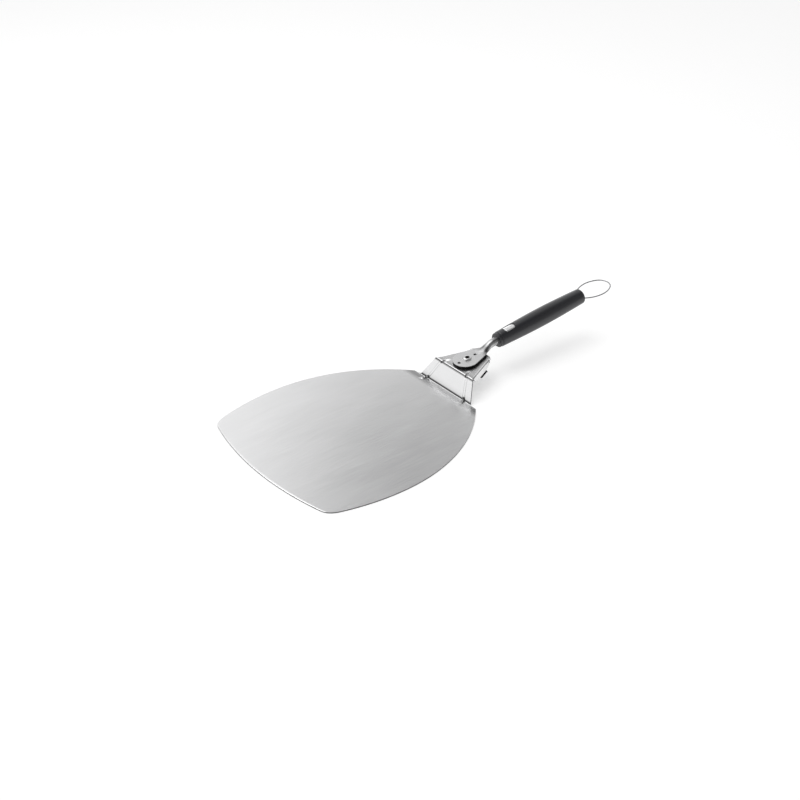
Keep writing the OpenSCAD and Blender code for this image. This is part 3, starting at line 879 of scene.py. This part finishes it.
@dataclass
class SwivelPlate:
    """Round-fronted flat plate, whose tail turns its sides down and rolls up into the grip's tube."""

    front_r: float = 20.5
    lead: float = 3.0
    top: float = 4.8
    rim_low: float = 0.4
    sheet: float = 1.3
    rim_r: float = 2.3
    roll_start: float = 30.0
    roll_end: float = 46.0
    mouth_end: float = 53.5
    tube_end: float = 71.5
    tube_r: float = 6.5
    tail_half: float = 7.4
    open_turn: float = 2.6
    axis_up: float = 9.1
    lock_s: float = 16.4
    lock_r: float = 2.4
    pivot_r: float = 4.08

    def outline(self) -> tuple[np.ndarray, np.ndarray]:
        """Right half of the plan: an arc about the front centre, then its tangent to the tail.

        Returns:
            The points, and the outward normal at each.
        """
        tip = np.array([self.tail_half, self.roll_end + self.lead])
        angle = math.atan2(tip[1], tip[0]) - math.acos(self.front_r / float(np.linalg.norm(tip)))
        turn = np.linspace(-math.pi / 2, angle, 44)
        normal = np.stack([np.cos(turn), np.sin(turn)], axis=-1)
        arc = normal * self.front_r - (0, self.lead)
        end = tip - (0, self.lead)
        share = np.linspace(0.0, 1.0, 40)[1:, None]
        line = arc[-1] + (end - arc[-1]) * share
        along = np.linspace(self.roll_end, self.tube_end, 10)[1:]
        tube = np.stack([np.full_like(along, self.tail_half), along], axis=-1)
        straight = np.repeat(normal[-1:], len(line) + len(tube), axis=0)
        return np.concatenate([arc, line, tube]), np.concatenate([normal, straight])

    def shell(self) -> np.ndarray:
        """Outer skin of the plate and tube.

        Returns:
            Grid of points. A half section is a flat top and an edge, which behind the start of the roll folds
            down along a quarter circle and a straight wall. The section eases into an arc of the tube's
            circle, which closes below where the mouth ends.
        """
        plan, normal = self.outline()
        inset = plan - normal * self.rim_r
        zero = np.zeros((len(plan), 1))
        flat = np.linspace(0.0, 1.0, 16)
        turned = ease((plan[:, 1:] - self.roll_start - 3.0) / 12.0)
        angle = math.pi / 2 * turned
        wall = self.top - self.rim_r - self.rim_low
        reach = self.rim_r + (math.pi / 2 * self.rim_r + wall - self.rim_r) * turned
        p = reach * np.linspace(0.0, 1.0, 14)[1:]
        bent = np.minimum(p / self.rim_r, angle)
        rest = p - self.rim_r * bent
        out = self.rim_r * np.sin(bent) + rest * np.cos(angle)
        x = np.concatenate([inset[:, :1] * flat, inset[:, :1] + normal[:, :1] * out], axis=1)
        s = np.concatenate([inset[:, 1:] + 0 * flat, inset[:, 1:] + normal[:, 1:] * out], axis=1)
        down = self.rim_r * (1 - np.cos(bent)) + rest * np.sin(angle)
        w = np.concatenate([zero + self.top + 0 * flat, self.top - down], axis=1)
        steps = np.hypot(np.diff(x, axis=1), np.diff(w, axis=1)) + 1e-6
        length = np.concatenate([zero, np.cumsum(steps, axis=1)], axis=1)
        share = length / length[:, -1:]
        row = inset[:, 1:]
        closing = ease((row - self.roll_end) / (self.mouth_end - self.roll_end))
        angle = share * (self.open_turn + (math.pi - self.open_turn) * closing)
        rolled = ease((row - self.roll_start + 10.0) / (self.roll_end - self.roll_start + 20.0))
        narrowed = ease((row - self.roll_start + 4.0) / (self.roll_end - self.roll_start + 10.0))
        x = x * (1 - narrowed) + self.tube_r * np.sin(angle) * narrowed
        w = w * (1 - rolled) + (self.axis_up + self.tube_r * np.cos(angle)) * rolled
        s = s * (1 - rolled) + row * rolled
        mirrored = ((x, -1), (s, 1), (w, 1))
        x, s, w = (np.concatenate([sign * part[:, :0:-1], part], axis=1) for part, sign in mirrored)
        return DECK.place(x, s, w)

    def build(self, finishes: Finishes) -> None:
        """Make the plate, drill its pivot hole and two eased lock holes, and hand it over."""
        piece = surface("plate_shell", self.shell())
        thicken(piece, self.sheet, -1.0, 0.25, finishes)
        shank, lip = pin_outline(self.lock_r, 1.0), pin_outline(self.lock_r + 0.45, self.top + 0.1)
        eased = np.concatenate([shank[:2], [[self.lock_r, self.top - 0.35]], lip[1:]])
        drill(
            piece,
            [
                DECK.turned("pivot_hole", pin_outline(self.pivot_r, 1.0), 0.0),
                DECK.turned("front_lock", eased, -self.lock_s),
                DECK.turned("rear_lock", eased, self.lock_s),
            ],
        )
        hand_over(piece, Body.HANDLE, "swivel_plate", finishes.plate, finishes.edge_shade)


# ---------------------------------------------------------------- grip and badge


@dataclass
class Grip:
    """Moulded grip that swells towards its rear, with a sunk seat for the blank badge."""

    start: float = 66.5
    end: float = 247.0
    front_r: float = 12.6
    rear_r: float = 12.6
    swell: float = 2.2
    axis_up: float = 9.1
    edge_r: float = 1.3
    pocket_r: float = 11.0
    badge_start: float = 79.0
    badge_l: float = 20.0
    badge_half: float = 7.0
    seat_r: float = 11.9
    groove_w: float = 0.9
    groove_r: float = 11.4
    pocket_s: float = 229.0
    nut_r: float = 9.0
    nut_s: float = 219.0
    rod_r: float = 4.05
    spigot_r: float = 5.2
    spigot_s: float = 80.2
    tube_r: float = 6.55
    tube_s: float = 72.0

    def radius(self, s: np.ndarray) -> np.ndarray:
        """Radius at s: an even change from front to rear, plus the swell as half a sine wave."""
        u = (s - self.start) / (self.end - self.start)
        return self.front_r + (self.rear_r - self.front_r) * u + self.swell * np.sin(math.pi * u)

    def profile(self) -> tuple[np.ndarray, np.ndarray]:
        """Closed outline of the grip's wall.

        Returns:
            Radius and distance from the front edge round to the bore, and 1 where the wall is the outer body.
        """
        drop = np.array([1.2, 0.85, 0.5, 0.2])
        front = np.stack([self.front_r - drop, self.start + np.array([0.0, 0.08, 0.3, 0.65])], axis=-1)
        near, far = self.badge_start - 1.1, self.badge_start + self.badge_l + 2.6
        rear = np.linspace(far + 1, self.end - self.edge_r, 40)
        s = np.concatenate([np.arange(self.start + 1.2, near, 1.6), np.arange(near, far, 0.3), rear])
        body = np.stack([self.radius(s), s], axis=-1)
        turn = np.linspace(math.radians(15), math.pi / 2, 9)
        corner = (self.rear_r - self.edge_r, self.end - self.edge_r)
        edge = corner + self.edge_r * np.stack([np.cos(turn), np.sin(turn)], axis=-1)
        bore = (
            (self.pocket_r + 0.15, self.end),
            (self.pocket_r, self.end - 0.2),
            (self.pocket_r, self.pocket_s),
            (self.nut_r, self.pocket_s),
            (self.nut_r, self.nut_s),
            (self.rod_r, self.nut_s),
            (self.rod_r, self.spigot_s),
            (self.spigot_r, self.spigot_s),
            (self.spigot_r, self.tube_s),
            (self.tube_r, self.tube_s),
            (self.tube_r, self.start),
        )
        outer = np.repeat([0.0, 1.0, 0.0], [len(front), len(body), len(edge) + len(bore)])
        return np.concatenate([front, body, edge, bore]), outer

    def sunk(self, across: np.ndarray, s: np.ndarray) -> np.ndarray:
        """Depth of the badge's seat and of the groove behind it.

        Args:
            across: Distance from the crown, measured round the grip.
            s: Distance behind the pivot.

        Returns:
            Depths: the distance to a flat-fronted, round-ended outline, eased down to the seat's radius
            inside it, and to the groove's smaller radius in the ring just outside its rear end.
        """
        middle = self.badge_start + self.badge_l - self.badge_half
        out = np.where(
            s > middle,
            np.hypot(across, s - middle) - self.badge_half,
            np.maximum(np.abs(across) - self.badge_half, self.badge_start - s),
        )
        behind = ease((s - middle - 1.0) / 2.5)
        inside = ease((0.25 + self.groove_w * behind - out) / 0.45)
        floor = self.seat_r - (self.seat_r - self.groove_r) * behind * ease((out + 0.2) / 0.2)
        return inside * (self.radius(s) - floor)

    def build(self, finishes: Finishes) -> None:
        """Turn the closed outline about the grip's axis, sink the seat into its crown and hand it over."""
        outline, outer = self.profile()
        theta = np.radians(np.concatenate([np.arange(-46, 46.1, 1.0), np.linspace(52, 308, 44)]))[None]
        r, s = outline[:, 0:1], outline[:, 1:2]
        wrapped = np.where(theta > math.pi, theta - 2 * math.pi, theta)
        r = r - outer[:, None] * self.sunk(wrapped * r, s + 0 * wrapped)
        points = DECK.place(r * np.sin(theta), s + 0 * theta, self.axis_up + r * np.cos(theta))
        piece = surface("grip_body", points, wrap=True, loop=True)
        settle(piece, 50.0)
        hand_over(piece, Body.HANDLE, "grip", finishes.black)


@dataclass
class Badge:
    """Blank metal badge that follows the grip's round crown."""

    grip: Grip
    thickness: float = 0.8
    proud: float = 0.1
    edge: float = 0.3
    corner: float = 0.6

    def rim(self, count: int = 120) -> np.ndarray:
        """Outline with a straight front, straight sides and a half-round rear end.

        Args:
            count: Number of points.

        Returns:
            Plan points at equal shares of the outline's length.
        """
        g = self.grip
        middle = g.badge_start + g.badge_l - g.badge_half
        turn = np.linspace(0.0, math.pi, 40)
        rear = np.stack([g.badge_half * np.cos(turn), middle + g.badge_half * np.sin(turn)], axis=-1)
        small = np.linspace(0, math.pi / 2, 5)
        near = self.corner * np.stack([np.cos(small), -np.sin(small)], axis=-1)
        right = near + (g.badge_half - self.corner, g.badge_start + self.corner)
        left = right[::-1] * (-1, 1)
        curve = np.concatenate([rear, left, right[::-1], rear[:1]])
        return PressedSheet.along(curve, np.linspace(0.0, 1.0, count, endpoint=False))

    def build(self, finishes: Finishes) -> None:
        """Draw rings from the middle to the rim, over its rounded edge and back below, and hand it over."""
        g = self.grip
        rim = self.rim()
        centre = np.array([0.0, g.badge_start + g.badge_l / 2])
        turn = np.linspace(0.0, math.pi / 2, 5)
        top, under = np.linspace(0.0, 0.9, 10), np.linspace(1.0, 0.0, 10)
        reach = np.concatenate([top, 0.9 + 0.1 * np.sin(turn[1:]), [1.0], under])
        below = np.full(1 + len(under), self.thickness)
        drop = np.concatenate([0 * top, self.edge * (1 - np.cos(turn[1:])), below])
        plan = centre + (rim - centre)[None] * reach[:, None, None]
        s, theta = plan[..., 1], plan[..., 0] / g.front_r
        r = g.front_r + self.proud - drop[:, None] + 0 * theta
        points = DECK.place(r * np.sin(theta), s, g.axis_up + r * np.cos(theta))
        piece = surface("badge_face", points, wrap=True)
        merge(piece, closed=True)
        settle(piece, 60.0)
        hand_over(piece, Body.HANDLE, "badge_plate", finishes.badge)


# ---------------------------------------------------------------- hanging loop


@dataclass
class HangingLoop:
    """Steel wire bent into an oval, closed by the cross bar that turns in the grip's end plug."""

    half: float = 22.0
    wire_r: float = 1.0
    bar_half: float = 4.5
    lead_r: float = 5.0
    lead_turn: float = 45.0
    tip_turn: float = 35.0
    tip_share: float = 0.814
    bar_s: float = 244.5
    axis_up: float = 9.1

    def path(self) -> tuple[np.ndarray, np.ndarray]:
        """Right half of the wire as a chain of arcs.

        Returns:
            Points across and along, and headings: each arc turns the heading at an even rate, and a point
            lies a radius to the right of the arc's centre.
        """
        lead, tip = math.radians(self.lead_turn), math.radians(self.tip_turn)
        flank_r = (self.half - self.bar_half - self.lead_r * math.sin(lead)) / (1 - math.sin(lead))
        tip_r = self.half * self.tip_share
        back_r = (self.half - tip_r * math.cos(tip)) / (1 - math.cos(tip))
        at, heading = np.array([self.bar_half, 0.0]), 0.0
        points, headings = [], []
        arcs = zip((self.lead_r, flank_r, back_r, tip_r), (lead, math.pi / 2 - lead, tip, math.pi / 2 - tip))
        for radius, turn in arcs:
            centre = at + radius * np.array([-math.sin(heading), math.cos(heading)])
            angles = heading + np.linspace(0.0, turn, max(4, round(math.degrees(turn) / 3)))[:-1]
            points.append(centre + radius * np.stack([np.sin(angles), -np.cos(angles)], axis=-1))
            headings.append(angles)
            heading += turn
            at = centre + radius * np.array([math.sin(heading), -math.cos(heading)])
        return np.concatenate(points + [at[None]]), np.concatenate(headings + [[heading]])

    def build(self, finishes: Finishes) -> None:
        """Carry a circle along both halves and across the bar, and hand the loop over."""
        points, headings = self.path()
        points = np.concatenate([points, points[-2::-1] * (-1, 1)])
        headings = np.concatenate([headings, 2 * math.pi - headings[-2::-1]])
        angle = np.linspace(0.0, 2 * math.pi, 16, endpoint=False)
        side = self.wire_r * np.cos(angle)
        x = points[:, 0:1] + np.sin(headings)[:, None] * side
        s = points[:, 1:2] - np.cos(headings)[:, None] * side + self.bar_s
        w = self.axis_up + self.wire_r * np.sin(angle) + 0 * x
        piece = surface("loop_wire", DECK.place(x, s, w), wrap=True, loop=True)
        settle(piece, 60.0)
        hand_over(piece, Body.LOOP, "hang_loop", finishes.wire)


# ---------------------------------------------------------------- carried-over pieces


@dataclass
class Hardware:
    """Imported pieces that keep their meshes: rivet, washers, lock lever, rod, nut, collar and plug."""

    rivet: tuple[str, ...] = ("pivot_rivet",)
    bright: tuple[str, ...] = (
        "top_washer",
        "low_washer",
        "leaf_rivets",
        "lock_pin",
        "tang_washer",
        "tang_nut",
    )
    spring: tuple[str, ...] = ("disc_spring", "leaf_foot", "lock_leaf", "handle_tang")
    black: tuple[str, ...] = ("grip_collar", "end_plug")
    soft: tuple[str, ...] = ("rim_ring", "finger_tab")
    pale: tuple[str, ...] = ("glide_washer",)

    def build(self, finishes: Finishes) -> None:
        """Dress every carried-over node."""
        for names, cover in (
            (self.rivet, finishes.rivet),
            (self.bright, finishes.bright),
            (self.spring, finishes.spring),
            (self.black, finishes.black),
            (self.soft, finishes.soft),
            (self.pale, finishes.pale),
        ):
            for name in names:
                dress(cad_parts[name], cover)
                LOG.info("%s keeps its packed mesh, in %s", name, cover.name)


# ---------------------------------------------------------------- studio


WHITE = (1.0, 1.0, 1.0, 1.0)


@dataclass(frozen=True)
class Patch:
    """Part of the room round one direction: rays along it bring in the change."""

    direction: Triple
    start: float
    stop: float
    change: float

    def light(self, sheet: NodeSheet, ray: Any) -> Signal:
        """Change in brightness that the patch makes for a ray.

        Args:
            sheet: Node sheet of the world.
            ray: Output that holds the ray's direction.

        Returns:
            The change, eased in between start and stop.
        """
        node = sheet.node("ShaderNodeVectorMath", {"operation": "DOT_PRODUCT"}, {0: ray, 1: self.direction})
        return Signal(sheet, node.outputs["Value"]).step(self.start, self.stop) * self.change


@dataclass
class Studio:
    """Pale floor, a soft overhead panel, a pale surround and the camera. Lengths here are in metres."""

    target: Triple = (-0.01893, 0.13055, 0.0015)
    azimuth_deg: float = 51.159
    elevation_deg: float = 32.494
    distance: float = 1.9071
    lens: float = 56.25
    floor_half: float = 14.0
    floor_tone: float = 0.78
    floor_glow: float = 0.32
    room_tone: float = 0.97
    room_light: float = 0.72
    patches: tuple[Patch, ...] = (
        Patch((-0.559, -0.829, 0.0), -0.13, 0.05, 0.06),  # left of the camera
        Patch((-0.602, 0.516, 0.609), 0.9875, 0.9996, -0.86),  # the spot that the blade mirrors
        Patch((0.0, 0.0, 1.0), 0.64, 0.8, -0.25),  # overhead
        Patch((1.0, 0.0, 0.0), -0.3, 0.1, -0.65),  # right
        Patch((-0.85, 0.53, 0.0), 0.87, 0.98, 0.4),  # the band at the rear
    )

    def camera(self) -> None:
        """Stand the camera off the target by its azimuth, elevation and distance, and aim it there."""
        azimuth, elevation = math.radians(self.azimuth_deg), math.radians(self.elevation_deg)
        level = math.cos(elevation)
        away = Vector((math.sin(azimuth) * level, -math.cos(azimuth) * level, math.sin(elevation)))
        data = bpy.data.cameras.new("camera")
        data.lens, data.sensor_width, data.clip_end = self.lens, 36.0, 100.0
        camera = bpy.data.objects.new("camera", data)
        camera.location = Vector(self.target) + away * self.distance
        camera.rotation_euler = (-away).to_track_quat("-Z", "Y").to_euler()
        bpy.context.scene.collection.objects.link(camera)
        bpy.context.scene.camera = camera

    def floor(self) -> None:
        """Lay the pale floor just under the blade, a little lighter to the camera than to the object."""
        h = self.floor_half
        grid = np.array([[[-h, -h, 0], [h, -h, 0]], [[-h, h, 0], [h, h, 0]]], float) / MM
        floor = surface("floor", grid)
        made, sheet = material("floor_paper")
        path = sheet.node("ShaderNodeLightPath", {}, {})
        seen = Signal(sheet, path.outputs["Is Camera Ray"]) + Signal(sheet, path.outputs["Is Glossy Ray"])
        grey = (self.floor_tone,) * 3 + (1.0,)
        paper = sheet.node("ShaderNodeBsdfPrincipled", {}, {"Base Color": grey, "Roughness": 0.9})
        glow = sheet.node("ShaderNodeEmission", {}, {"Color": WHITE, "Strength": seen * self.floor_glow})
        both = sheet.node("ShaderNodeAddShader", {}, {0: paper.outputs[0], 1: glow.outputs[0]})
        sheet.node("ShaderNodeOutputMaterial", {}, {"Surface": both.outputs[0]})
        dress(floor, made)

    def panel(self, name: str, at: Triple, size: tuple[float, float], power: float) -> None:
        """Hang a soft light panel that faces the peel.

        Args:
            name: Name of the light.
            at: Its place.
            size: Its width and height.
            power: Its power in watts.
        """
        data = bpy.data.lights.new(name, "AREA")
        data.shape, data.size, data.size_y, data.energy = "RECTANGLE", size[0], size[1], power
        lamp = bpy.data.objects.new(name, data)
        lamp.location = at
        lamp.rotation_euler = (Vector((0.0, 0.15, 0.0)) - Vector(at)).to_track_quat("-Z", "Y").to_euler()
        bpy.context.scene.collection.objects.link(lamp)

    def surround(self) -> None:
        """Make the world: white to the camera, and in reflections a pale room with its patches."""
        world = bpy.data.worlds.new("room")
        bpy.context.scene.world = world
        world.use_nodes = True
        sheet = NodeSheet(world.node_tree)
        ray = sheet.node("ShaderNodeTexCoord", {}, {}).outputs["Generated"]
        path = sheet.node("ShaderNodeLightPath", {}, {})
        seen = Signal(sheet, path.outputs["Is Camera Ray"])
        glossy = Signal(sheet, path.outputs["Is Glossy Ray"])
        room = sum((patch.light(sheet, ray) for patch in self.patches), self.room_tone)
        level = seen + (1 - seen) * (glossy * room + (1 - glossy) * self.room_light)
        sky = sheet.node("ShaderNodeBackground", {}, {"Color": WHITE, "Strength": level})
        sheet.node("ShaderNodeOutputWorld", {}, {"Surface": sky.outputs[0]})

    def build(self) -> None:
        """Set up the camera, floor, lights and view."""
        self.camera()
        self.floor()
        self.panel("overhead", (-0.9, -0.2, 2.2), (1.6, 1.6), 18.0)
        self.surround()
        bpy.context.scene.view_settings.view_transform = "Standard"


def main() -> None:
    """Build every sub-assembly in order."""
    logging.basicConfig(level=logging.INFO, format="%(name)s: %(message)s")
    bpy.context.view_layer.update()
    Studio().build()
    finishes = Finishes()
    grip = Grip()
    for assembly in (PressedSheet(), SwivelPlate(), grip, Badge(grip), HangingLoop(), Hardware()):
        assembly.build(finishes)


if __name__ == "__main__":
    main()
